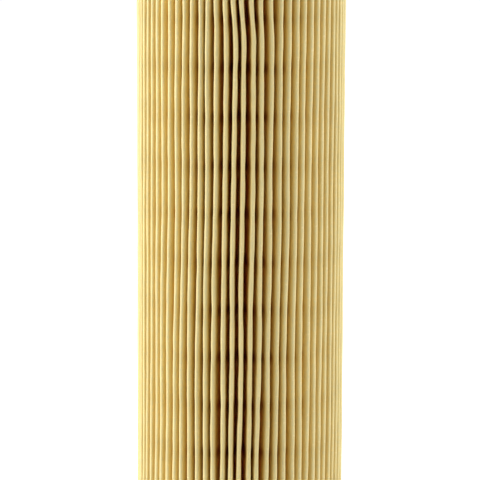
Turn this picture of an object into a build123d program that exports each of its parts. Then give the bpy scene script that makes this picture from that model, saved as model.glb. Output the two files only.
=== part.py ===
from build123d import *
import os
from math import acos, cos, degrees, radians

# Pleated filter element, millimetres, +Z up along its axis.
# The origin is on the axis, in the plane that the lower end cap stands on.
# The seam of the pleated sheet is at the back, on the +Y side.

# Overall size
pleat_diameter = 72.0  # over the outer folds
overall_length = 206.0  # over the outer faces of the two end caps

# Pleated sheet
pleat_count = 72  # the seam takes the place of one of them
pleat_depth = 14.0
paper_thickness = 0.6
fold_radius = 0.22  # on the inside of every fold
outer_fold_creases = 6  # small turns that make up the round back of an outer fold
inner_fold_creases = 4  # the same for an inner fold

# Seam, where the two ends of the sheet are clamped together
seam_angle = 90.0
seam_gap = 0.05
clip_sheet = 0.3
clip_depth = 7.0
clip_clearance = 0.15

# Support core
core_clearance = 0.3  # between the core and the inner folds
core_wall = 2.2
core_sides = 30  # flats round the moulding
ring_count = 13
ring_height = 4.0
bar_count = 6
bar_width = 3.0

# End caps
cap_sheet = 0.7
cap_clearance = 0.3  # between a cap's rim and the outer folds
rim_height = 7.0
edge_chamfer = 0.4
collar_clearance = 0.3  # between the upper cap's collar and the core
collar_length = 6.0

# Adhesive that the ends of sheet and core stand in
adhesive_thickness = 1.2
adhesive_clearance = 0.2  # round the adhesive's edges

# Outlet grommet, held in the collar
grommet_clearance = 0.05
grommet_wall = 2.45
grommet_lip_width = 4.6  # from the bore to the lip's edge
grommet_lip_thickness = 1.5
grommet_overhang = 0.5  # past the end of the collar

# Heights
media_base = cap_sheet + adhesive_thickness
media_top = overall_length - media_base
media_length = media_top - media_base

# Radii
pleat_radius = pleat_diameter / 2
root_radius = pleat_radius - pleat_depth
core_radius = root_radius - core_clearance
core_bore_radius = core_radius - core_wall
rim_bore_radius = pleat_radius + cap_clearance
rim_radius = rim_bore_radius + cap_sheet
collar_radius = core_bore_radius - collar_clearance
collar_bore_radius = collar_radius - cap_sheet
sleeve_radius = collar_bore_radius - grommet_clearance
outlet_radius = sleeve_radius - grommet_wall

# Folds: each fold is bent round a centre, which lies on the plane of its pleat or valley
pleat_pitch = 360.0 / pleat_count
fold_back = fold_radius + paper_thickness
tip_centre_radius = pleat_radius - fold_back
root_centre_radius = root_radius + fold_back


def polar(radius, angle):
    """Point at a radius and an angle in degrees."""
    return Vector(radius, 0).rotate(Axis.Z, angle)


class Leaf:
    """A flat leaf of the sheet, from a pleat's tip down to the valley on one side (1 or -1) of it."""

    def __init__(self, pleat_angle, side, tip_radius, tip_gap):
        tip = polar(tip_radius, pleat_angle)
        root = polar(root_centre_radius, pleat_angle + side * pleat_pitch / 2)
        run = root - tip
        lean = degrees(acos((tip_gap + paper_thickness + fold_radius) / run.length))
        across = run.normalized().rotate(Axis.Z, -side * lean)
        down = across.rotate(Axis.Z, -side * 90)
        self.outer_end = tip + across * (tip_gap + paper_thickness)
        self.inner_end = tip + across * tip_gap
        self.tip_corner = self.inner_end - down * fold_radius
        self.valley_corner = root - across * fold_radius + down * fold_radius


def fold_points(centre_radius, angle, facing, creases):
    """Creases round the back of a fold, in the order that the outline meets them."""
    centre = polar(centre_radius, angle)
    turn = 180 / creases
    crease_radius = fold_back / cos(radians(turn / 2))
    turns = [turn * (crease + 0.5) - 90 for crease in range(creases)]
    return [centre + polar(crease_radius, angle + facing + step) for step in turns]


def valley_leaves(index):
    """The two leaves of a valley, which are numbered round from the seam."""
    leaves = []
    for pleat, side in ((index, 1), (index + 1, -1)):
        angle = seam_angle + pleat * pleat_pitch
        if pleat in (0, pleat_count):
            leaves.append(Leaf(angle, side, pleat_radius - clip_sheet - clip_clearance, seam_gap / 2))
        else:
            leaves.append(Leaf(angle, side, tip_centre_radius, fold_radius))
    return leaves


def media_outline():
    """Corners of the folded sheet seen from above: its outer face once round, then its inner face back."""
    outer_face = []
    inner_face = []
    for index in range(pleat_count):
        pleat_angle = seam_angle + index * pleat_pitch
        falling, rising = valley_leaves(index)
        if index > 0:
            outer_face += fold_points(tip_centre_radius, pleat_angle, 0, outer_fold_creases)
        outer_face += [falling.valley_corner, rising.valley_corner]
        inner_face.append(falling.tip_corner)
        valley_angle = pleat_angle + pleat_pitch / 2
        inner_face += fold_points(root_centre_radius, valley_angle, 180, inner_fold_creases)[::-1]
        inner_face.append(rising.tip_corner)
    first, last = valley_leaves(0)[0], valley_leaves(pleat_count - 1)[1]
    inner_face[0], inner_face[-1] = first.inner_end, last.inner_end
    return [first.outer_end] + outer_face + [last.outer_end] + inner_face[::-1]


def pleated_media():
    """One sheet of filter paper folded into pleats, its two ends side by side at the seam."""
    section = make_face(Polyline(media_outline(), close=True))
    return Pos(Z=media_base) * extrude(section, media_length)


def seam_clip():
    """U-section strip that is crimped over the two ends of the sheet."""
    inner_width = seam_gap + 2 * (paper_thickness + clip_clearance)
    outward = (Align.MAX, Align.CENTER)
    section = Rectangle(clip_depth, inner_width + 2 * clip_sheet, align=outward)
    section -= Pos(X=-clip_sheet) * Rectangle(clip_depth, inner_width, align=outward)
    strip = extrude(Pos(X=pleat_radius) * section, media_length)
    return Pos(Z=media_base) * Rot(Z=seam_angle) * strip


def support_core():
    """Moulded cage of ring ribs on upright bars, which keeps the pleats from collapsing inwards."""
    wall = RegularPolygon(core_radius, core_sides)
    wall -= RegularPolygon(core_bore_radius, core_sides, major_radius=False)
    ring = Pos(Z=media_base) * extrude(wall, ring_height)
    ring_pitch = (media_length - ring_height) / (ring_count - 1)
    rings = [Pos(Z=index * ring_pitch) * ring for index in range(ring_count)]
    strip = Rectangle(2 * core_wall, bar_width)
    strips = Sketch() + PolarLocations(core_radius - core_wall / 2, bar_count) * strip
    bars = Pos(Z=media_base) * extrude(wall & strips, media_length)
    return bars + rings


def pressed_cap(centre_corners):
    """Pressed steel cap with its floor at the bottom, its rim upright and its centre as given."""
    rim_corners = [
        (rim_bore_radius, cap_sheet),
        (rim_bore_radius, rim_height),
        (rim_radius, rim_height),
        (rim_radius, edge_chamfer),
        (rim_radius - edge_chamfer, 0),
    ]
    profile = make_face(Polyline(centre_corners + rim_corners, close=True))
    return revolve(Plane.XZ * profile, Axis.Z)


def lower_end_cap():
    """Closed cap that the element stands on."""
    return pressed_cap([(0, 0), (0, cap_sheet)])


def upper_end_cap():
    """Open cap with a collar drawn inwards round the outlet."""
    collar_corners = [
        (collar_bore_radius, 0),
        (collar_bore_radius, collar_length),
        (collar_radius, collar_length),
        (collar_radius, cap_sheet),
    ]
    return Pos(Z=overall_length) * Rot(X=180) * pressed_cap(collar_corners)


def lower_adhesive():
    """Cured disc of adhesive on the floor of the lower cap."""
    disc = Circle(rim_bore_radius - adhesive_clearance)
    return Pos(Z=cap_sheet) * extrude(disc, adhesive_thickness)


def upper_adhesive():
    """Cured ring of adhesive between the upper cap's rim and its collar."""
    ring = Circle(rim_bore_radius - adhesive_clearance)
    ring -= Circle(collar_radius + adhesive_clearance)
    return Pos(Z=media_top) * extrude(ring, adhesive_thickness)


def outlet_grommet():
    """Rubber sleeve that lines the collar, with a lip that rests on the upper cap."""
    sleeve_end = -collar_length - grommet_overhang
    lip_radius = outlet_radius + grommet_lip_width
    profile = Polyline(
        (outlet_radius, sleeve_end),
        (sleeve_radius, sleeve_end),
        (sleeve_radius, 0),
        (lip_radius, 0),
        (lip_radius, grommet_lip_thickness),
        (outlet_radius, grommet_lip_thickness),
        close=True,
    )
    return Pos(Z=overall_length) * revolve(Plane.XZ * make_face(profile), Axis.Z)


nodes = {
    "pleated_media": pleated_media,
    "seam_clip": seam_clip,
    "support_core": support_core,
    "upper_end_cap": upper_end_cap,
    "lower_end_cap": lower_end_cap,
    "upper_adhesive": upper_adhesive,
    "lower_adhesive": lower_adhesive,
    "outlet_grommet": outlet_grommet,
}

os.makedirs("parts", exist_ok=True)
for name, make in nodes.items():
    export_step(make(), f"parts/{name}.step")
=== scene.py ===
# %% [markdown]
# # A pleated filter element
# The element is a tall cartridge of folded filter paper between two pressed steel caps. A moulded core
# inside keeps the folds from collapsing, and a rubber grommet seals the outlet in the upper cap.
#
# The construction comes in as a fixed frame of plain solids. This lesson builds the visible pieces again
# with the soft edges and small unevenness of the real thing, and gives every piece a finish.

import math

import bmesh
import bpy
from mathutils import Matrix, Quaternion, Vector, noise


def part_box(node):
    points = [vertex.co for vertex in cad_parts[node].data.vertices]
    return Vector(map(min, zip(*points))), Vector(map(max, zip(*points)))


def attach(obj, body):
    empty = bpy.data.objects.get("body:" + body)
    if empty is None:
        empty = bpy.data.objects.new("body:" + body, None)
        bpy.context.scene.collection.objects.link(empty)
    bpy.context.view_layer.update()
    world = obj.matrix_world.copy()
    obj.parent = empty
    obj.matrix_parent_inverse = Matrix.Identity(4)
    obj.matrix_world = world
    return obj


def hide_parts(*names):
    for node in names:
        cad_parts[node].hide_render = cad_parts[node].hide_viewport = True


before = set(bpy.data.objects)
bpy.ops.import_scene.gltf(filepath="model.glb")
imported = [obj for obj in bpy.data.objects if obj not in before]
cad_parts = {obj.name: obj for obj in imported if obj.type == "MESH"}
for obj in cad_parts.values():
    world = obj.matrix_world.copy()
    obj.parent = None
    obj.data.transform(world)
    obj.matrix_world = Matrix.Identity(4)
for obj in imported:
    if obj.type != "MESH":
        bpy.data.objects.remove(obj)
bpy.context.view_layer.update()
print("frame nodes:", ", ".join(sorted(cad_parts)))

# %% [markdown]
# ## The camera
# The element is looked at from a little above and from far away, through a long lens, so that its sides
# stay almost parallel. It fills the height of the view and runs out of it above and below. The camera is
# rolled by a fraction of a degree, because the element doesn't stand quite straight in the view.

# %% Place the camera
camera_target = Vector((-0.00017, 0, 0.1059))
camera_distance = 1.105
camera_pitch = math.radians(9.5)
camera_roll = math.radians(0.21)

camera_data = bpy.data.cameras.new("camera")
camera_data.lens = 237.9
camera_data.sensor_width = 36
camera = bpy.data.objects.new("camera", camera_data)
bpy.context.scene.collection.objects.link(camera)
from_target = Vector((0, -math.cos(camera_pitch), math.sin(camera_pitch)))
facing_target = from_target.to_track_quat("Z", "Y")
camera.location = camera_target + from_target * camera_distance
camera.rotation_mode = "QUATERNION"
camera.rotation_quaternion = facing_target @ Quaternion((0, 0, 1), camera_roll)
bpy.context.scene.camera = camera
print("the camera stands at", [round(place, 3) for place in camera.location])

# %% [markdown]
# ## Node trees in few lines
# A finish is a small tree of nodes. It could be joined up by hand in the shader editor, but written down
# it can be read, repeated and changed. One function adds a node, sets its options and joins or sets its
# inputs. The others name the few kinds of node that the finishes here are made of, which keeps each
# material down to the lines that say something about it.


# %% Build node trees
def add_node(tree, kind, inputs=None, **options):
    node = tree.nodes.new(kind)
    for option, value in options.items():
        setattr(node, option, value)
    for name, value in (inputs or {}).items():
        if isinstance(value, bpy.types.NodeSocket):
            tree.links.new(value, node.inputs[name])
        else:
            node.inputs[name].default_value = value
    return node


def object_position(tree):
    return add_node(tree, "ShaderNodeTexCoord").outputs["Object"]


def add_noise(tree, position, scale, detail=3.0):
    inputs = {"Vector": position, "Scale": scale, "Detail": detail}
    return add_node(tree, "ShaderNodeTexNoise", inputs).outputs["Fac"]


def add_map(tree, value, low, high, to_low=0.0, to_high=1.0, kind="SMOOTHSTEP"):
    """Maps the range from low to high on to another one, by default with soft ends."""
    inputs = {"Value": value, "From Min": low, "From Max": high, "To Min": to_low, "To Max": to_high}
    return add_node(tree, "ShaderNodeMapRange", inputs, interpolation_type=kind).outputs["Result"]


def add_math(tree, operation, first, second=0.0, third=0.0):
    inputs = {0: first, 1: second, 2: third}
    return add_node(tree, "ShaderNodeMath", inputs, operation=operation).outputs[0]


def add_mix(tree, factor, first, second, blend="MIX"):
    inputs = {0: factor, 6: first, 7: second}
    return add_node(tree, "ShaderNodeMix", inputs, data_type="RGBA", blend_type=blend).outputs[2]


# %% [markdown]
# ## Unevenness that every finish shares
# Paper, steel, rubber and moulded plastic all have a slow mottle and a fine grain, only at other sizes.
# The noises could be built again in each material, but then a change would have to be made five times.
# So the effect is built once as a node group. It puts out the mottle and the grain together as a shade
# round 1, ready to be multiplied into a colour, the grain by itself, and the grain as a bump.

# %% Build the unevenness group
noise_low = 0.3  # nearly all of a noise lies between these two values
noise_high = 0.7
uneven_inputs = ("Mottle Scale", "Mottle Depth", "Grain Scale", "Grain Depth", "Bump Height")
uneven_outputs = (
    ("Shade", "NodeSocketFloat"),
    ("Grain", "NodeSocketFloat"),
    ("Normal", "NodeSocketVector"),
)


def shade_by(group, pattern, depth):
    """Turns a noise into a shade that swings round 1 by a depth."""
    swing = add_map(group, pattern, noise_low, noise_high, -1.0, 1.0, "LINEAR")
    return add_math(group, "MULTIPLY_ADD", swing, depth, 1.0)


def uneven_group():
    group = bpy.data.node_groups.new("uneven", "ShaderNodeTree")
    for name in uneven_inputs:
        group.interface.new_socket(name, in_out="INPUT", socket_type="NodeSocketFloat")
    for name, kind in uneven_outputs:
        group.interface.new_socket(name, in_out="OUTPUT", socket_type=kind)

    values = add_node(group, "NodeGroupInput").outputs
    position = object_position(group)
    mottle = add_noise(group, position, values["Mottle Scale"])
    grain = add_noise(group, position, values["Grain Scale"], detail=4.0)
    mottled = shade_by(group, mottle, values["Mottle Depth"])
    grained = shade_by(group, grain, values["Grain Depth"])
    shade = add_math(group, "MULTIPLY", mottled, grained)
    bump = add_node(group, "ShaderNodeBump", {"Distance": values["Bump Height"], "Height": grain})
    results = {"Shade": shade, "Grain": grain, "Normal": bump.outputs["Normal"]}
    add_node(group, "NodeGroupOutput", results)
    return group


uneven = uneven_group()
print(f"the node group {uneven.name} has {len(uneven.nodes)} nodes")

# %% [markdown]
# ## From the group to a finish
# Each material places the group with scales and depths of its own, and uses what comes out in the same
# way. The shade is multiplied into the colour, the bump goes to the shader's normal, and where a surface
# is cloudy its roughness follows the shade too. The Principled shader itself stays in the material.


# %% Use the group in a material
def new_material(name, roughness, specular=0.5, metallic=0.0):
    """Makes a material and returns it with its tree and its shader."""
    material = bpy.data.materials.new(name)
    material.use_nodes = True
    shader = material.node_tree.nodes["Principled BSDF"]
    shader.inputs["Roughness"].default_value = roughness
    shader.inputs["Specular IOR Level"].default_value = specular
    shader.inputs["Metallic"].default_value = metallic
    return material, material.node_tree, shader


def add_uneven(tree, mottle_scale, mottle_depth, grain_scale, grain_depth, bump_height):
    node = add_node(tree, "ShaderNodeGroup", node_tree=uneven)
    values = (mottle_scale, mottle_depth, grain_scale, grain_depth, bump_height)
    for socket, value in zip(node.inputs, values):
        socket.default_value = value
    return node.outputs


def lay_colour(tree, shader, colour, surface):
    """Shades a colour by the unevenness and joins it to the shader with the bump."""
    shade = surface["Shade"]
    grey = add_node(tree, "ShaderNodeCombineColor", {0: shade, 1: shade, 2: shade}).outputs[0]
    tree.links.new(add_mix(tree, 1.0, colour, grey, "MULTIPLY"), shader.inputs["Base Color"])
    tree.links.new(surface["Normal"], shader.inputs["Normal"])


def lay_clouds(tree, shader, surface, swing, smoothest, roughest):
    """Lets the roughness follow a shade that swings round 1."""
    cloudy = add_map(tree, surface["Shade"], 1 - swing, 1 + swing, smoothest, roughest, "LINEAR")
    tree.links.new(cloudy, shader.inputs["Roughness"])


# %% [markdown]
# ## Colours of filter paper, with painted shade
# Filter paper is a soft sheet soaked in resin. Its colour is pale cream at the outer folds and runs
# through a deeper golden tan down the leaves to rust brown in the valleys; that darkening with depth is
# painted shade, for light that has to bounce from leaf to leaf. Where a rib of the core presses on the
# folds from behind, it blocks the light that shines through the paper: a dark band of painted shadow
# marks the rib, with a lighter band of painted glow just below it, where that light comes through. At the
# outer folds single fibres are rubbed pale.

# %% Name the paper's colours
# From the outer folds inwards these colours are painted shade, darker and redder towards the valleys
# where light bounces between the leaves
paper_colour_and_depth_shade = (
    (0.000, (0.87, 0.75, 0.38, 1)),
    (0.040, (0.86, 0.68, 0.275, 1)),
    (0.100, (0.84, 0.66, 0.25, 1)),
    (0.160, (0.80, 0.55, 0.135, 1)),
    (0.280, (0.80, 0.50, 0.10, 1)),
    (0.500, (0.88, 0.34, 0.025, 1)),
    (1.000, (0.92, 0.28, 0.015, 1)),
)
# Painted shadow of a rib, which blocks the light that shines through the paper
rib_shadow_colour = (0.66, 0.46, 0.36, 1)
# Painted glow of the light that shines through the paper just below a rib
shine_through_colour = (0.97, 0.42, 0.06, 1)
rubbed_fibre = (0.93, 0.86, 0.62, 1)
print(f"the paper has {len(paper_colour_and_depth_shade)} colours from its outer folds to its inner ones")

# %% [markdown]
# ## Sizes of the paper and its core
# What must agree with the solids is read from their boxes: how far out the folds reach, and where the
# ribs of the core lie. What a box can't tell, such as the depth of the pleats, is named here once. The
# paper's colours need these sizes already, because they follow the shape.

# %% Name the sizes
paper_low, paper_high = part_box("pleated_media")
pleat_depth = 0.014
pleat_radius = paper_high.x
root_radius = pleat_radius - pleat_depth

core_low, core_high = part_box("support_core")
ring_count = 13
ring_height = 0.004
first_ring = core_low.z + ring_height / 2
ring_pitch = (core_high.z - core_low.z - ring_height) / (ring_count - 1)
print(f"the pleats reach {pleat_radius * 1000:.1f} mm out, the ribs lie {ring_pitch * 1000:.2f} mm apart")

# %% [markdown]
# ## Two measures of the paper
# The colours could be painted on by hand, but then they would have to be painted again whenever a fold
# moved. So they follow two measures of the surface itself. One is how deep it lies, from the outer folds
# to the inner ones, with an edge made ragged by the fibres. The other is how high it lies above the
# nearest rib.

# %% Measure depth and height
ragged_depth = 0.018  # as a share of the pleat's depth


def paper_depth(tree, fibres):
    """How deep the surface lies, 0 at the outer folds and 1 at the inner ones."""
    across = {0: object_position(tree), 1: (1, 1, 0)}
    flat = add_node(tree, "ShaderNodeVectorMath", across, operation="MULTIPLY").outputs[0]
    radius = add_node(tree, "ShaderNodeVectorMath", {0: flat}, operation="LENGTH").outputs["Value"]
    depth = add_map(tree, radius, pleat_radius, root_radius, 0.0, 1.0, "LINEAR")
    ragged = add_map(tree, fibres, noise_low, noise_high, -ragged_depth, ragged_depth, "LINEAR")
    return add_math(tree, "ADD", depth, ragged)


def rib_phase(tree):
    """How far the surface lies above the nearest rib of the core, in rib spacings."""
    height = add_node(tree, "ShaderNodeSeparateXYZ", {0: object_position(tree)}).outputs["Z"]
    climb = add_map(tree, height, first_ring, first_ring + ring_pitch, 0.0, 1.0, "LINEAR")
    climb.node.clamp = False
    return add_math(tree, "WRAP", climb, 0.5, -0.5)


print(f"the paper's measures run over {pleat_depth * 1000:.0f} mm of depth")

# %% [markdown]
# ## Painted rib shade, and rubbed fibres
# The bands of painted shadow and glow from the ribs and the rubbed fibres are mixed over the paper's
# colour.
# The bands show only where the surface lies deep, and a slow noise makes them patchy. The rubbed fibres
# are the highest peaks of the grain, and only the outer folds have them.

# %% Paint the ribs' shade and mark the fibres
patch_scale = 45
patch_ends = (0.36, 0.64)  # values of the noise between which a patch fades in
patch_strengths = (0.55, 1.1)
rib_shadow_middle = 0.02  # in rib spacings above the rib
rib_shadow_reach = 0.2
rib_shadow_depths = (0.06, 0.34)  # depths between which the band fades in
shine_through_middle = -0.2
shine_through_reach = 0.14
shine_through_depths = (0.15, 0.6)
fibre_peaks = (0.6, 0.68)
fibre_strength = 0.5
fibre_depth = 0.07


def band(tree, phase, middle, reach):
    """A soft band of height round a phase, 1 in its middle."""
    away = add_math(tree, "ABSOLUTE", add_math(tree, "SUBTRACT", phase, middle))
    return add_map(tree, away, 0.0, reach, 1.0, 0.0)


def shaded_by_ribs(tree, colour, depth):
    """Mixes the ribs' painted shadow, and the painted glow of light through the paper just below each
    rib, over the paper's colour.
    """
    patches = add_noise(tree, object_position(tree), patch_scale)
    patchy = add_map(tree, patches, *patch_ends, *patch_strengths)
    # Painted shade: a dark band where each rib blocks light through the paper, a lighter glow just below
    # it
    phase = rib_phase(tree)
    dark_part = add_math(tree, "MULTIPLY", add_map(tree, depth, *rib_shadow_depths), patchy)
    dark = band(tree, phase, rib_shadow_middle, rib_shadow_reach)
    light_part = add_map(tree, depth, *shine_through_depths)
    light = band(tree, phase, shine_through_middle, shine_through_reach)
    colour = add_mix(tree, add_math(tree, "MULTIPLY", light, light_part), colour, shine_through_colour)
    return add_mix(tree, add_math(tree, "MULTIPLY", dark, dark_part), colour, rib_shadow_colour, "MULTIPLY")


def rubbed(tree, colour, depth, fibres):
    """Mixes pale fibres over the paper's colour at the outer folds."""
    peaks = add_map(tree, fibres, *fibre_peaks, 0.0, fibre_strength)
    outside = add_map(tree, depth, 0.0, fibre_depth, 1.0, 0.0)
    return add_mix(tree, add_math(tree, "MULTIPLY", peaks, outside), colour, rubbed_fibre)


print(f"a dark band reaches {rib_shadow_reach * ring_pitch * 1000:.1f} mm to either side of its middle")

# %% [markdown]
# ## The paper's finish
# A colour ramp turns the depth into the paper's colour with its painted shade, and the ribs' painted
# bands and the rubbed fibres go over it. Paper has no shine to speak of, so the shader stays rough, with
# a low specular level, and the fibres show as a fine bump.


# %% Make the paper
def depth_shaded_colour(tree, depth):
    """Turns a depth into the paper's colour, with painted shade that darkens and reddens it towards the
    inner folds.
    """
    # The ramp paints shade: the deeper the surface lies, the darker and redder it turns
    ramp = add_node(tree, "ShaderNodeValToRGB", {"Fac": depth})
    stops = ramp.color_ramp.elements
    while len(stops) < len(paper_colour_and_depth_shade):
        stops.new(0.5)
    for stop, (place, colour) in zip(stops, paper_colour_and_depth_shade):
        stop.position = place
        stop.color = colour
    return ramp.outputs["Color"]


def paper_material():
    material, tree, shader = new_material("soft_filter_paper", roughness=0.85, specular=0.2)
    surface = add_uneven(
        tree,
        mottle_scale=110,
        mottle_depth=0.03,
        grain_scale=900,
        grain_depth=0.04,
        bump_height=0.00005,
    )
    depth = paper_depth(tree, surface["Grain"])
    colour = shaded_by_ribs(tree, depth_shaded_colour(tree, depth), depth)
    colour = rubbed(tree, colour, depth, surface["Grain"])
    lay_colour(tree, shader, colour, surface)
    return material


filter_paper = paper_material()
print(f"{filter_paper.name} has {len(filter_paper.node_tree.nodes)} nodes")

# %% [markdown]
# ## Lines of vertices
# Nearly everything here is sheet: paper, steel, the wall of a moulding. So the pieces are drawn as
# surfaces through the middle of that sheet, and a surface starts as a line of vertices, much as a maker
# draws a section. The corners could be worked out and listed, but a line that is drawn with operators
# keeps true arcs at its bends and follows when a size changes.

# %% Draw lines of vertices
up = Vector((0, 0, 1))
full_turn = 2 * math.pi
merge_distance = 1e-6


def draw_to(shape, vert, point):
    """Extrudes a vertex to a point and returns the new one."""
    made = bmesh.ops.extrude_vert_indiv(shape, verts=[vert])
    end = made["verts"][0]
    end.co = point
    return end


def sweep(shape, vert, centre, axis, angle, steps):
    """Spins a vertex round a centre into an arc and returns its far end."""
    made = bmesh.ops.spin(shape, geom=[vert], cent=centre, axis=axis, angle=angle, steps=steps)
    return next(part for part in made["geom_last"] if isinstance(part, bmesh.types.BMVert))


def mirror_line(shape):
    """Mirrors a line that is drawn on one side of the XZ plane."""
    bmesh.ops.mirror(
        shape,
        geom=shape.verts[:] + shape.edges[:],
        matrix=Matrix.Identity(4),
        merge_dist=merge_distance,
        axis="Y",
    )


print(f"points nearer than {merge_distance * 1000} mm are merged")

# %% [markdown]
# ## Draw one pleat
# The real sheet is creased and gathered into pleats. Here the middle line of half a pleat is drawn from
# a single point: swept round the outer fold, drawn down the leaf, swept round the inner fold. A mirror
# makes the other half. Drawing the whole outline corner by corner would be far longer, and each change
# of a fold would have to be made 72 times.

# %% Draw the middle line of a pleat
pleat_count = 72
pleat_pitch = full_turn / pleat_count
paper_thickness = 0.0006
fold_radius = 0.00022
fold_middle = fold_radius + paper_thickness / 2
fold_back = fold_radius + paper_thickness
outer_fold_steps = 2
inner_fold_steps = 1
tip_centre = Vector((pleat_radius - fold_back, 0, paper_low.z))
valley_turn = Matrix.Rotation(pleat_pitch / 2, 3, "Z")
root_centre = valley_turn @ Vector((root_radius + fold_back, 0, paper_low.z))


def pleat_line():
    """One pleat on the +X side, from valley to valley."""
    run = root_centre - tip_centre
    lean_in = math.acos(2 * fold_middle / run.length)
    across = Matrix.Rotation(-lean_in, 3, "Z") @ run.normalized()
    shoulder_angle = math.atan2(across.y, across.x)
    foot_angle = math.atan2(-across.y, -across.x)
    valley_angle = pleat_pitch / 2 - math.pi

    shape = bmesh.new()
    top = shape.verts.new(tip_centre + Vector((fold_middle, 0, 0)))
    shoulder = sweep(shape, top, tip_centre, up, shoulder_angle, outer_fold_steps)
    foot = draw_to(shape, shoulder, root_centre - across * fold_middle)
    sweep(shape, foot, root_centre, up, valley_angle - foot_angle, inner_fold_steps)
    mirror_line(shape)
    return shape


pleat = pleat_line()
print(f"one pleat is a line of {len(pleat.edges)} edges")

# %% [markdown]
# ## Gather the sheet and close it at the seam
# A spin with duplicates sets the other pleats round the axis. The two ends of the real sheet stand side
# by side at the back, held by a clip. So the first pleat is cut open: the arc of its fold is deleted and
# its two leaves are pressed together. An array of finished pleats would be as quick to make, but it
# could neither be opened at one pleat nor be loosened afterwards.

# %% Gather the pleats
seam_angle = math.pi / 2
seam_gap = 0.00005
clip_reach = 0.00045  # from the outer folds in to the ends of the sheet, which the clip covers
seam_reach = pleat_radius - clip_reach


def open_fold(fold):
    """Presses the leaves of an outer fold together and returns the arc between them."""
    shoulders = [vert for vert in fold if vert.co.x < tip_centre.x + fold_middle / 4]
    for vert in shoulders:
        side = math.copysign(1, vert.co.y)
        vert.co.xy = (seam_reach, side * (seam_gap + paper_thickness) / 2)
    return [vert for vert in fold if vert not in shoulders]


def turn_to(shape, angle):
    """Turns everything in a bmesh about the element's axis."""
    turn = Matrix.Rotation(angle, 3, "Z")
    bmesh.ops.rotate(shape, verts=shape.verts[:], cent=(0, 0, 0), matrix=turn)


def gather(shape):
    """Sets copies of a pleat round the axis and opens the first one for the seam."""
    fold = [vert for vert in shape.verts if vert.co.x > tip_centre.x - fold_middle]
    bmesh.ops.spin(
        shape,
        geom=shape.verts[:] + shape.edges[:],
        cent=(0, 0, 0),
        axis=up,
        angle=full_turn - pleat_pitch,
        steps=pleat_count - 1,
        use_duplicate=True,
    )
    bmesh.ops.delete(shape, geom=open_fold(fold), context="VERTS")
    bmesh.ops.remove_doubles(shape, verts=shape.verts[:], dist=merge_distance)
    turn_to(shape, seam_angle)


gather(pleat)
print(f"the gathered line has {len(pleat.edges)} edges")

# %% [markdown]
# ## Raise the sheet
# The gathered line is raised to the height of the paper. The wall is cut into rows at once, because a
# sheet can only sway along its height where it has points to move.

# %% Raise the sheet
paper_height = paper_high.z - paper_low.z
paper_rows = 80


def raise_wall(shape, height, rows):
    """Extrudes a line upwards and cuts the wall into rows."""
    made = bmesh.ops.extrude_edge_only(shape, edges=shape.edges[:])["geom"]
    raised = [part for part in made if isinstance(part, bmesh.types.BMVert)]
    bmesh.ops.translate(shape, verts=raised, vec=up * height)
    uprights = [edge for edge in shape.edges if edge.verts[0].co.z != edge.verts[1].co.z]
    bmesh.ops.subdivide_edges(shape, edges=uprights, cuts=rows - 1)


sheet = pleat
raise_wall(sheet, paper_height, paper_rows)
print(f"the sheet has {len(sheet.verts)} vertices in {paper_rows + 1} levels")

# %% [markdown]
# ## How the pleats are uneven
# Gathered paper is never regular. Its pleats stand a little apart from their places, sway along their
# height, some of it together with their neighbours, and are pinched where a rib of the core holds them.
# The whole pack is wound by a few degrees from bottom to top, and at the front the folds were pushed
# aside when the upper cap went on. Each of these has its size here, in metres unless it says otherwise.

# %% Name the unevenness
winding = math.radians(2.9)
lean = 0.0007
uneven_spacing = 0.00044
group_sway = 0.00055
own_sway = 0.00036
fine_sway = 0.0001
reach_wobble = 0.00012
pinch = 0.22  # as a share of a pleat's width

group_wave = 0.05  # lengths of the waves along the height
own_wave = 0.035
fine_wave = 0.006
reach_wave = 0.02
group_change = 2.2  # how often neighbours change their common sway round the pack

push = 0.0014
push_width = 0.26  # in radians to either side of the front
push_start = 0.865  # as shares of the height
push_end = 0.955

stiff_pleats = 6  # pleats on either side of the seam that the clip keeps straight
stiff_ends = 12  # the adhesive holds the first and last twelfth of the height
stiffness = 1.3  # how much less a leaf gives near its root
print(f"the pleats sway by up to {(group_sway + own_sway + fine_sway) * 1000:.2f} mm to either side")

# %% [markdown]
# ## Noise for each pleat
# Random numbers would make the pleats jump from row to row. Smooth noise doesn't, and it gives the same
# values each time. Every pleat reads it at a place of its own: the pleats are a stride apart, on a line
# that is different for each kind of unevenness.

# %% Read noise for each pleat
own_stride, own_line = 3.7, 0.5
fine_stride, fine_line = 5.3, 9.5
spacing_stride, spacing_line, spacing_level = 1.9, 4.5, 0.3
reach_stride, reach_line = 2.3, 7.5


def pleat_noise(index, stride, line, along):
    """Smooth noise along the height, which differs from pleat to pleat."""
    return noise.noise(Vector((index * stride, line, along)))


def swaying(index, plane, z, ends_give):
    """How far the tip of a pleat stands beside its plane, in metres."""
    around = Vector((math.cos(plane), math.sin(plane), 0)) * group_change
    sway = group_sway * noise.noise(around + up * z / group_wave)
    sway += own_sway * pleat_noise(index, own_stride, own_line, z / own_wave)
    sway += fine_sway * pleat_noise(index, fine_stride, fine_line, z / fine_wave)
    apart = uneven_spacing * pleat_noise(index, spacing_stride, spacing_line, spacing_level)
    return sway * ends_give + apart + lean


def pushed_aside(plane, height):
    """How far the front folds are pushed aside under the upper cap, in metres."""
    off_front = (plane + math.pi / 2 + math.pi) % full_turn - math.pi
    rising = min(1.0, max(0.0, (height - push_start) / (push_end - push_start)))
    return push * rising**2 * (3 - 2 * rising) * math.exp(-((off_front / push_width) ** 2))


print(f"the front pleat is pushed {pushed_aside(-math.pi / 2, 1) * 1000:.1f} mm aside at its top")

# %% [markdown]
# ## Loosen the sheet
# All of it together is a small shift of each point in polar coordinates: a turn about the axis and a
# step inwards. The shift grows with the distance from the roots, because the core holds those in place.
# The pleat at the seam doesn't move at all.


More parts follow.
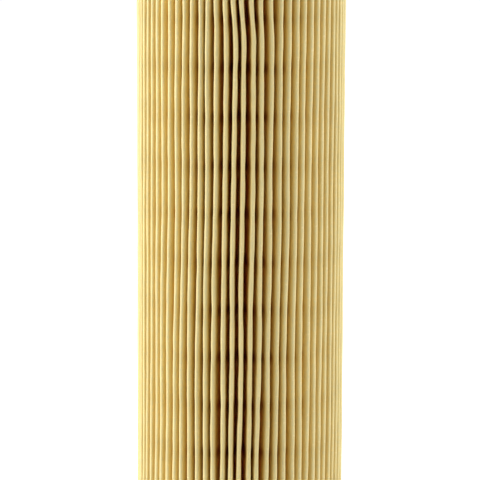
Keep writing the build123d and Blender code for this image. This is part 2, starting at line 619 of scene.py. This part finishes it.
# %% Move every point of the sheet
def loosened(point):
    radius = point.xy.length
    angle = math.atan2(point.y, point.x)
    height = (point.z - paper_low.z) / paper_height
    depth = max(0.0, (radius - root_radius) / pleat_depth)
    index = round((angle - seam_angle) / pleat_pitch) % pleat_count
    if index == 0:
        return point

    plane = seam_angle + index * pleat_pitch
    off_plane = (angle - plane + math.pi) % full_turn - math.pi
    looseness = min(1.0, min(index, pleat_count - index) / stiff_pleats)
    ends_give = min(1.0, stiff_ends * min(height, 1 - height))
    away_from_seam = 0.5 - 0.5 * math.sin(plane)

    sway = swaying(index, plane, point.z, ends_give) * depth**stiffness * looseness
    sway -= pushed_aside(plane, height) * depth
    ribs = 0.5 + 0.5 * math.cos((point.z - first_ring) * full_turn / ring_pitch)
    off_plane *= 1 - pinch * ribs**2 * depth * looseness
    wobble = 0.5 + pleat_noise(index, reach_stride, reach_line, point.z / reach_wave)
    radius -= reach_wobble * wobble * ends_give * depth
    turned = plane + off_plane + sway / pleat_radius + winding * (height - 0.5) * away_from_seam
    return Vector((radius * math.cos(turned), radius * math.sin(turned), point.z))


furthest = 0
for vert in sheet.verts:
    place = loosened(vert.co)
    furthest = max(furthest, (place - vert.co).length)
    vert.co = place
bmesh.ops.recalc_face_normals(sheet, faces=sheet.faces[:])
print(f"the furthest point moved by {furthest * 1000:.1f} mm")

# %% [markdown]
# ## From a bmesh to a piece
# A shape becomes an object at the origin, with its place in its mesh. One helper does that for every
# piece, gives it its finish and hides the solid that the piece stands for, so that none of it is
# forgotten. Modifiers then finish the piece: Solidify gives a sheet its thickness to both sides, Bevel
# rounds the cut edges, and Weighted Normal keeps large faces flat in the light while the narrow faces of
# a bend take the whole turn.

# %% Turn a bmesh into a piece
edge_angle = math.radians(60)


def make_piece(shape, name, node, material):
    """Makes an object from a bmesh and puts it in the place of a solid."""
    mesh = bpy.data.meshes.new(name)
    shape.to_mesh(mesh)
    shape.free()
    mesh.polygons.foreach_set("use_smooth", [True] * len(mesh.polygons))
    mesh.materials.append(material)
    piece = bpy.data.objects.new(name, mesh)
    bpy.context.scene.collection.objects.link(piece)
    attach(piece, "root")
    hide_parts(node)
    print(f"{name}: {len(mesh.vertices)} vertices, {len(mesh.polygons)} faces")
    return piece


def add_modifier(piece, kind, **options):
    modifier = piece.modifiers.new(kind.lower(), kind)
    for option, value in options.items():
        setattr(modifier, option, value)


def thicken(piece, thickness):
    """Gives a surface its thickness, half of it to each side."""
    add_modifier(piece, "SOLIDIFY", thickness=thickness, offset=0, use_even_offset=True)


def soften_edges(piece, width, segments=2):
    """Rounds every edge that is sharper than the edge angle."""
    add_modifier(
        piece,
        "BEVEL",
        width=width,
        segments=segments,
        limit_method="ANGLE",
        angle_limit=edge_angle,
    )


def shade_evenly(piece):
    """Lets the largest faces decide how the light falls."""
    add_modifier(piece, "WEIGHTED_NORMAL", keep_sharp=True, weight=50)


# %% [markdown]
# ## Give the sheet its thickness
# The sheet is a single surface up to here, through the middle of the paper, so every fold could be moved
# without a thought for its other face. Solidify makes both faces from it. Paper is cut cleanly and its
# edges stand in the adhesive, so they get no bevel.

# %% Thicken the paper
paper = make_piece(sheet, "pleated_paper", "pleated_media", filter_paper)
thicken(paper, paper_thickness)
shade_evenly(paper)

# %% [markdown]
# ## Zinc-plated steel
# The caps and the clip are pressed from thin steel with a bright zinc coat. It is smooth but not
# polished: handling and the press leave a slow cloudiness, and the coat has a fine satin grain. On metal
# a varied roughness shows that better than a varied colour, so the cloudiness drives both.

# %% Make the steel
steel_swing = 0.1
steel_smoother = 0.08
steel_rougher = 0.1


def steel_material(name, colour, roughness):
    material, tree, shader = new_material(name, roughness, metallic=1.0)
    surface = add_uneven(
        tree,
        mottle_scale=45,
        mottle_depth=0.05,
        grain_scale=1400,
        grain_depth=0.03,
        bump_height=0.000004,
    )
    smoothest = roughness - steel_smoother
    roughest = roughness + steel_rougher
    lay_colour(tree, shader, colour, surface)
    lay_clouds(tree, shader, surface, steel_swing, smoothest, roughest)
    return material


cap_steel = steel_material("zinc_plated_cap", (0.55, 0.56, 0.57, 1), 0.34)
clip_steel = steel_material("zinc_plated_clip", (0.50, 0.51, 0.52, 1), 0.38)
print("made", cap_steel.name, "and", clip_steel.name)

# %% [markdown]
# ## How a cap is pressed
# A cap starts as a flat disc of sheet and is drawn up at its edge. It could be a cylinder with its lid
# pushed in, but the bends of the sheet would be missing. So each cap is one line through the middle of
# its sheet, drawn outwards with an arc at every bend, and turned once round the axis. The two caps share
# the bend at the rim and everything that comes after it.

# %% Draw a rim and finish a cap
upper_low, upper_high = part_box("upper_end_cap")
cap_sheet = 0.0007
cap_bend = 0.0009
cap_edge = 0.00015
cap_steps = 128
bend_steps = 6
quarter_turn = math.pi / 2
rim_middle = upper_high.x - cap_sheet / 2
backwards = Vector((0, 1, 0))


def flanged_line(shape, start, level, rim_end):
    """Draws a flat from start to the rim at a level, round the bend and along the rim to its end."""
    towards = 1 if rim_end > level else -1
    corner = draw_to(shape, start, Vector((rim_middle - cap_bend, 0, level)))
    centre = Vector((rim_middle - cap_bend, 0, level + towards * cap_bend))
    wall = sweep(shape, corner, centre, backwards, -towards * quarter_turn, bend_steps)
    return draw_to(shape, wall, Vector((rim_middle, 0, rim_end)))


def turn_round(shape, steps):
    """Spins everything in a bmesh once round the element's axis."""
    bmesh.ops.spin(
        shape,
        geom=shape.verts[:] + shape.edges[:],
        cent=(0, 0, 0),
        axis=up,
        angle=full_turn,
        steps=steps,
        use_merge=True,
    )
    bmesh.ops.remove_doubles(shape, verts=shape.verts[:], dist=merge_distance)
    bmesh.ops.recalc_face_normals(shape, faces=shape.faces[:])


def finish_cap(shape, name, node):
    turn_round(shape, cap_steps)
    cap = make_piece(shape, name, node, cap_steel)
    thicken(cap, cap_sheet)
    soften_edges(cap, cap_edge)
    shade_evenly(cap)


print(f"the middle of the rims lies {rim_middle * 1000:.2f} mm from the axis")

# %% [markdown]
# ## Press the lower cap
# The lower cap is closed, and the element stands on it. Its line starts on the axis, where the spin
# gathers all the turned points into one, so that the middle of the disc is closed.

# %% Press the lower cap
lower_low, lower_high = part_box("lower_end_cap")
lower_level = lower_low.z + cap_sheet / 2

lower_shape = bmesh.new()
middle = lower_shape.verts.new((0, 0, lower_level))
flanged_line(lower_shape, middle, lower_level, lower_high.z)
finish_cap(lower_shape, "lower_cap", "lower_end_cap")

# %% [markdown]
# ## Press the upper cap
# The upper cap has a round opening with a collar drawn inwards, which stiffens the edge and holds the
# grommet. Its line therefore starts at the inner end of the collar, climbs to the bend, and only then
# runs outwards over the flat.

# %% Press the upper cap
collar_middle = 0.01885
collar_length = 0.006
upper_level = upper_high.z - cap_sheet / 2
collar_top = upper_level - cap_bend

upper_shape = bmesh.new()
collar_end = upper_shape.verts.new((collar_middle, 0, upper_high.z - collar_length))
collar_bend = draw_to(upper_shape, collar_end, Vector((collar_middle, 0, collar_top)))
bend_centre = Vector((collar_middle + cap_bend, 0, collar_top))
flat = sweep(upper_shape, collar_bend, bend_centre, backwards, quarter_turn, bend_steps)
flanged_line(upper_shape, flat, upper_level, upper_low.z)
finish_cap(upper_shape, "upper_cap", "upper_end_cap")

# %% [markdown]
# ## Rubber
# The grommet is moulded in black nitrile rubber. It is dull, with a fine bloom that makes it grey rather
# than black, and a soft sheen where the mould was polished. A shade that swings widely round a very dark
# grey gives that bloom, and one plain roughness is enough.

# %% Make the rubber
rubber_grey = (0.022, 0.022, 0.024, 1)


def rubber_material():
    material, tree, shader = new_material("nitrile_rubber", roughness=0.55, specular=0.4)
    surface = add_uneven(
        tree,
        mottle_scale=70,
        mottle_depth=0.18,
        grain_scale=1600,
        grain_depth=0.1,
        bump_height=0.00001,
    )
    lay_colour(tree, shader, rubber_grey, surface)
    return material


rubber = rubber_material()
print("made", rubber.name)

# %% [markdown]
# ## Mould the grommet
# The grommet is a sleeve with a lip, too thick to be a sheet. Its section is drawn as a closed line and
# turned round the axis, which makes a solid at once. Rubber has no sharp edges, and one Bevel modifier
# rounds all of them.

# %% Turn the grommet
grommet_low, grommet_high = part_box("outlet_grommet")
outlet_radius = 0.016
sleeve_radius = 0.01845
lip_level = upper_high.z
grommet_steps = 96
grommet_edge = 0.00045
section = [
    (outlet_radius, grommet_low.z),
    (sleeve_radius, grommet_low.z),
    (sleeve_radius, lip_level),
    (grommet_high.x, lip_level),
    (grommet_high.x, grommet_high.z),
    (outlet_radius, grommet_high.z),
]

grommet_shape = bmesh.new()
section_start = grommet_shape.verts.new((section[0][0], 0, section[0][1]))
section_end = section_start
for reach, level in section[1:]:
    section_end = draw_to(grommet_shape, section_end, Vector((reach, 0, level)))
grommet_shape.edges.new((section_end, section_start))
turn_round(grommet_shape, grommet_steps)
grommet = make_piece(grommet_shape, "outlet_seal", "outlet_grommet", rubber)
soften_edges(grommet, grommet_edge, segments=4)
shade_evenly(grommet)

# %% [markdown]
# ## Moulded plastic
# The core is moulded in a dark, glass-filled plastic. Its skin is satin, with a fine texture from the
# mould and a slow cloudiness where the filler lies nearer to the surface, so its roughness follows the
# shade as the steel's does.

# %% Make the plastic
plastic_grey = (0.035, 0.034, 0.033, 1)
plastic_swing = 0.2
smooth_plastic = 0.42
rough_plastic = 0.58


def plastic_material():
    material, tree, shader = new_material("moulded_plastic", roughness=0.48, specular=0.45)
    surface = add_uneven(
        tree,
        mottle_scale=90,
        mottle_depth=0.15,
        grain_scale=1800,
        grain_depth=0.12,
        bump_height=0.000012,
    )
    lay_colour(tree, shader, plastic_grey, surface)
    lay_clouds(tree, shader, surface, plastic_swing, smooth_plastic, rough_plastic)
    return material


core_plastic = plastic_material()
print("made", core_plastic.name)

# %% [markdown]
# ## Plan the core
# The core is a cage of ring ribs on upright bars. It could be put together from rings and bars, but
# then they would only cut through each other. It is made instead as one wall with windows in it. An
# upright line with a vertex at each edge of every rib is spun round the axis in uneven steps, so that
# faces lie exactly where the windows are.

# %% Draw the cage's line and find its windows
core_wall = 0.0022
core_middle = core_high.x - core_wall / 2
bar_count = 6
bar_width = 0.003
bar_angle = bar_width / core_middle
bay_angle = full_turn / bar_count


def cage_line(shape):
    """Draws an upright line with a vertex at each edge of every rib."""
    vert = shape.verts.new((core_middle, 0, core_low.z))
    for ring in range(ring_count):
        base = core_low.z + ring * ring_pitch
        for level in (base, base + ring_height):
            if level > core_low.z:
                vert = draw_to(shape, vert, Vector((core_middle, 0, level)))


def in_window(face):
    """Whether a face of the wall lies beside the bars and between two ribs."""
    middle = face.calc_center_median()
    off_bar = (math.atan2(middle.y, middle.x) + bay_angle / 2) % bay_angle - bay_angle / 2
    off_ring = (middle.z - core_low.z) % ring_pitch
    return abs(off_bar) > bar_angle / 2 and off_ring > ring_height


print(f"each bar takes up {bar_angle / bay_angle:.0%} of its bay")

# %% [markdown]
# ## Mould the core
# The line is spun bay by bay: a narrow step for each bar and a wide one for the windows beside it. The
# faces of the windows are deleted, and what is left gets its thickness and its rounded edges.

# %% Spin the cage
bar_steps = 2
window_steps = 13
core_edge = 0.0004

cage = bmesh.new()
cage_line(cage)
turn_to(cage, -bar_angle / 2)
front_line = cage.verts[:] + cage.edges[:]
for bay in range(bar_count):
    for angle, steps in ((bar_angle, bar_steps), (bay_angle - bar_angle, window_steps)):
        made = bmesh.ops.spin(
            cage,
            geom=front_line,
            cent=(0, 0, 0),
            axis=up,
            angle=angle,
            steps=steps,
        )
        front_line = made["geom_last"]
bmesh.ops.remove_doubles(cage, verts=cage.verts[:], dist=merge_distance)
bmesh.ops.delete(cage, geom=[face for face in cage.faces if in_window(face)], context="FACES")
bmesh.ops.recalc_face_normals(cage, faces=cage.faces[:])
core = make_piece(cage, "moulded_core", "support_core", core_plastic)
thicken(core, core_wall)
soften_edges(core, core_edge)
shade_evenly(core)

# %% [markdown]
# ## Fold the seam clip
# The clip is a strip of steel folded to a U and pushed over the two ends of the sheet. Half of its
# section is drawn and mirrored, as the pleat was. It is drawn on the +X side, where its two jaws lie
# level with the axis, and turned to the seam later.

# %% Draw the clip's section
clip_low, clip_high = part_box("seam_clip")
clip_sheet = 0.0003
clip_half = clip_high.x - clip_sheet / 2
clip_outer = clip_high.y - clip_sheet / 2
clip_inner = clip_low.y
clip_bend = 0.0003
clip_bend_steps = 4


def clip_section():
    shape = bmesh.new()
    jaw = shape.verts.new((clip_inner, clip_half, clip_low.z))
    cheek = draw_to(shape, jaw, Vector((clip_outer - clip_bend, clip_half, clip_low.z)))
    centre = Vector((clip_outer - clip_bend, clip_half - clip_bend, clip_low.z))
    corner = sweep(shape, cheek, centre, up, -quarter_turn, clip_bend_steps)
    draw_to(shape, corner, Vector((clip_outer, 0, clip_low.z)))
    mirror_line(shape)
    return shape


strip = clip_section()
print(f"the clip's section is a line of {len(strip.edges)} edges")

# %% [markdown]
# ## Crimp the seam clip
# The jaws are pressed together at even distances, which leaves a small dent in the outer face at each
# crimp. A dent could be cut at every crimp, but a smooth dip that repeats up the strip does all of them
# at once: it moves the points of the jaws inwards, and those of the outer face towards the axis.

# %% Raise and crimp the clip
clip_rows = 200
crimp_pitch = 0.0105
crimp_reach = 0.0022
jaw_press = 0.0001
dent_depth = 0.00018


def crimped(point):
    away = abs((point.z - clip_low.z) % crimp_pitch - crimp_pitch / 2)
    near = max(0.0, 1 - away / crimp_reach)
    dip = near**2 * (3 - 2 * near)
    if abs(point.y) < clip_half / 2:
        return point - Vector((dent_depth * dip, 0, 0))
    jaw = (clip_outer - point.x) / (clip_outer - clip_inner)
    return point - Vector((0, math.copysign(jaw_press * dip * jaw, point.y), 0))


raise_wall(strip, clip_high.z - clip_low.z, clip_rows)
for vert in strip.verts:
    vert.co = crimped(vert.co)
turn_to(strip, seam_angle)
bmesh.ops.recalc_face_normals(strip, faces=strip.faces[:])
clip = make_piece(strip, "crimped_clip", "seam_clip", clip_steel)
thicken(clip, clip_sheet)
shade_evenly(clip)

# %% [markdown]
# ## Adhesive
# The ends of the paper stand in cured polyurethane. Its two solids already have the right shape, a disc
# and a ring, so they stay as they are and only get a finish: an opaque straw yellow that cured smooth,
# with slow waves where it flowed.

# %% Make the adhesive
straw = (0.62, 0.50, 0.27, 1)
wave_swing = 0.15
smooth_cure = 0.22
rough_cure = 0.4


def adhesive_material():
    material, tree, shader = new_material("cured_polyurethane", roughness=0.3)
    surface = add_uneven(
        tree,
        mottle_scale=160,
        mottle_depth=0.12,
        grain_scale=600,
        grain_depth=0.05,
        bump_height=0.00005,
    )
    lay_colour(tree, shader, straw, surface)
    lay_clouds(tree, shader, surface, wave_swing, smooth_cure, rough_cure)
    return material


adhesive = adhesive_material()
for node in ("lower_adhesive", "upper_adhesive"):
    for material_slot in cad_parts[node].material_slots:
        material_slot.material = adhesive
print("finished both adhesive solids with", adhesive.name)

# %% [markdown]
# ## Floor
# The floor is a wide pale sheet that runs out of view on all sides, so that it is also the backdrop. It
# is paint that takes the element's soft shadow, and to the camera alone it glows enough to be white. It
# lies a fraction of a millimetre under the lower cap, so that the two surfaces don't fight.

# %% Lay the floor
floor_half_width = 12
floor_squares = 8
floor_gap = 0.0002
floor_paint = (0.85, 0.85, 0.85, 1)
floor_glow = 0.65


def floor_material():
    material, tree, shader = new_material("white_floor", roughness=0.9, specular=0.0)
    shader.inputs["Base Color"].default_value = floor_paint
    seen = add_node(tree, "ShaderNodeLightPath").outputs["Is Camera Ray"]
    strength = add_math(tree, "MULTIPLY", seen, floor_glow)
    glow = add_node(tree, "ShaderNodeEmission", {"Strength": strength}).outputs[0]
    both = add_node(tree, "ShaderNodeAddShader", {0: shader.outputs[0], 1: glow}).outputs[0]
    tree.links.new(both, tree.nodes["Material Output"].inputs["Surface"])
    return material


floor_shape = bmesh.new()
bmesh.ops.create_grid(
    floor_shape,
    x_segments=floor_squares,
    y_segments=floor_squares,
    size=floor_half_width,
)
bmesh.ops.translate(floor_shape, verts=floor_shape.verts[:], vec=(0, 0, -floor_gap))
floor_mesh = bpy.data.meshes.new("floor")
floor_shape.to_mesh(floor_mesh)
floor_shape.free()
floor_mesh.materials.append(floor_material())
floor = bpy.data.objects.new("floor", floor_mesh)
bpy.context.scene.collection.objects.link(floor)
print(f"the floor is {2 * floor_half_width} m wide")

# %% [markdown]
# ## Lamps
# Two tall soft boxes stand to the left and right of the element, the left one stronger. Their light
# grazes the front, so every fold has a bright side and a side that fades, and the valleys that face the
# camera stay dark. A lamp beside the camera would light those valleys and lose the folds. Three weaker
# boxes keep the back from going dull.

# %% Set the lamps
lamp_target = Vector((0, 0, 0.1))


def soft_box(name, angle, rise, distance, width, height, power):
    """Sets an area lamp, with its angle from the front and its rise in degrees."""
    lamp_data = bpy.data.lights.new(name, "AREA")
    lamp_data.shape = "RECTANGLE"
    lamp_data.size = width
    lamp_data.size_y = height
    lamp_data.energy = power
    lamp = bpy.data.objects.new(name, lamp_data)
    bpy.context.scene.collection.objects.link(lamp)
    turn = math.radians(angle)
    tilt = math.radians(rise)
    level = math.cos(tilt)
    outwards = Vector((math.sin(turn) * level, -math.cos(turn) * level, math.sin(tilt)))
    lamp.location = lamp_target + outwards * distance
    lamp.rotation_mode = "QUATERNION"
    lamp.rotation_quaternion = outwards.to_track_quat("Z", "Y")
    lamp.visible_camera = False
    print(f"{name}: {power} W at {angle} degrees")


soft_box("left_box", angle=-86, rise=14, distance=1.3, width=0.9, height=1.3, power=20.5)
soft_box("right_box", angle=84, rise=14, distance=1.3, width=0.9, height=1.3, power=11.3)
soft_box("left_back_box", angle=-118, rise=20, distance=1.3, width=0.6, height=1.0, power=1.0)
soft_box("right_back_box", angle=118, rise=20, distance=1.3, width=0.6, height=1.0, power=1.0)
soft_box("back_box", angle=180, rise=35, distance=1.5, width=0.9, height=0.6, power=8)

# %% [markdown]
# ## The surround
# A white surround fills the shadows. Its light on the element is kept low, because strong light from
# all round would flatten the folds, but the camera and the shiny steel see it at full strength, as they
# would see a white studio. A Light Path node tells which kind of ray is looking.

# %% Set the surround
fill_strength = 0.39
seen_strength = 1.0

world = bpy.data.worlds.new("surround")
bpy.context.scene.world = world
world.use_nodes = True
sky = world.node_tree
path = add_node(sky, "ShaderNodeLightPath").outputs
seen = add_math(sky, "MAXIMUM", path["Is Camera Ray"], path["Is Glossy Ray"])
strength = add_map(sky, seen, 0.0, 1.0, fill_strength, seen_strength, "LINEAR")
background = sky.nodes["Background"]
background.inputs["Color"].default_value = (1, 1, 1, 1)
sky.links.new(strength, background.inputs["Strength"])
bpy.context.scene.view_settings.view_transform = "Standard"
print("the surround lights the element at", fill_strength)
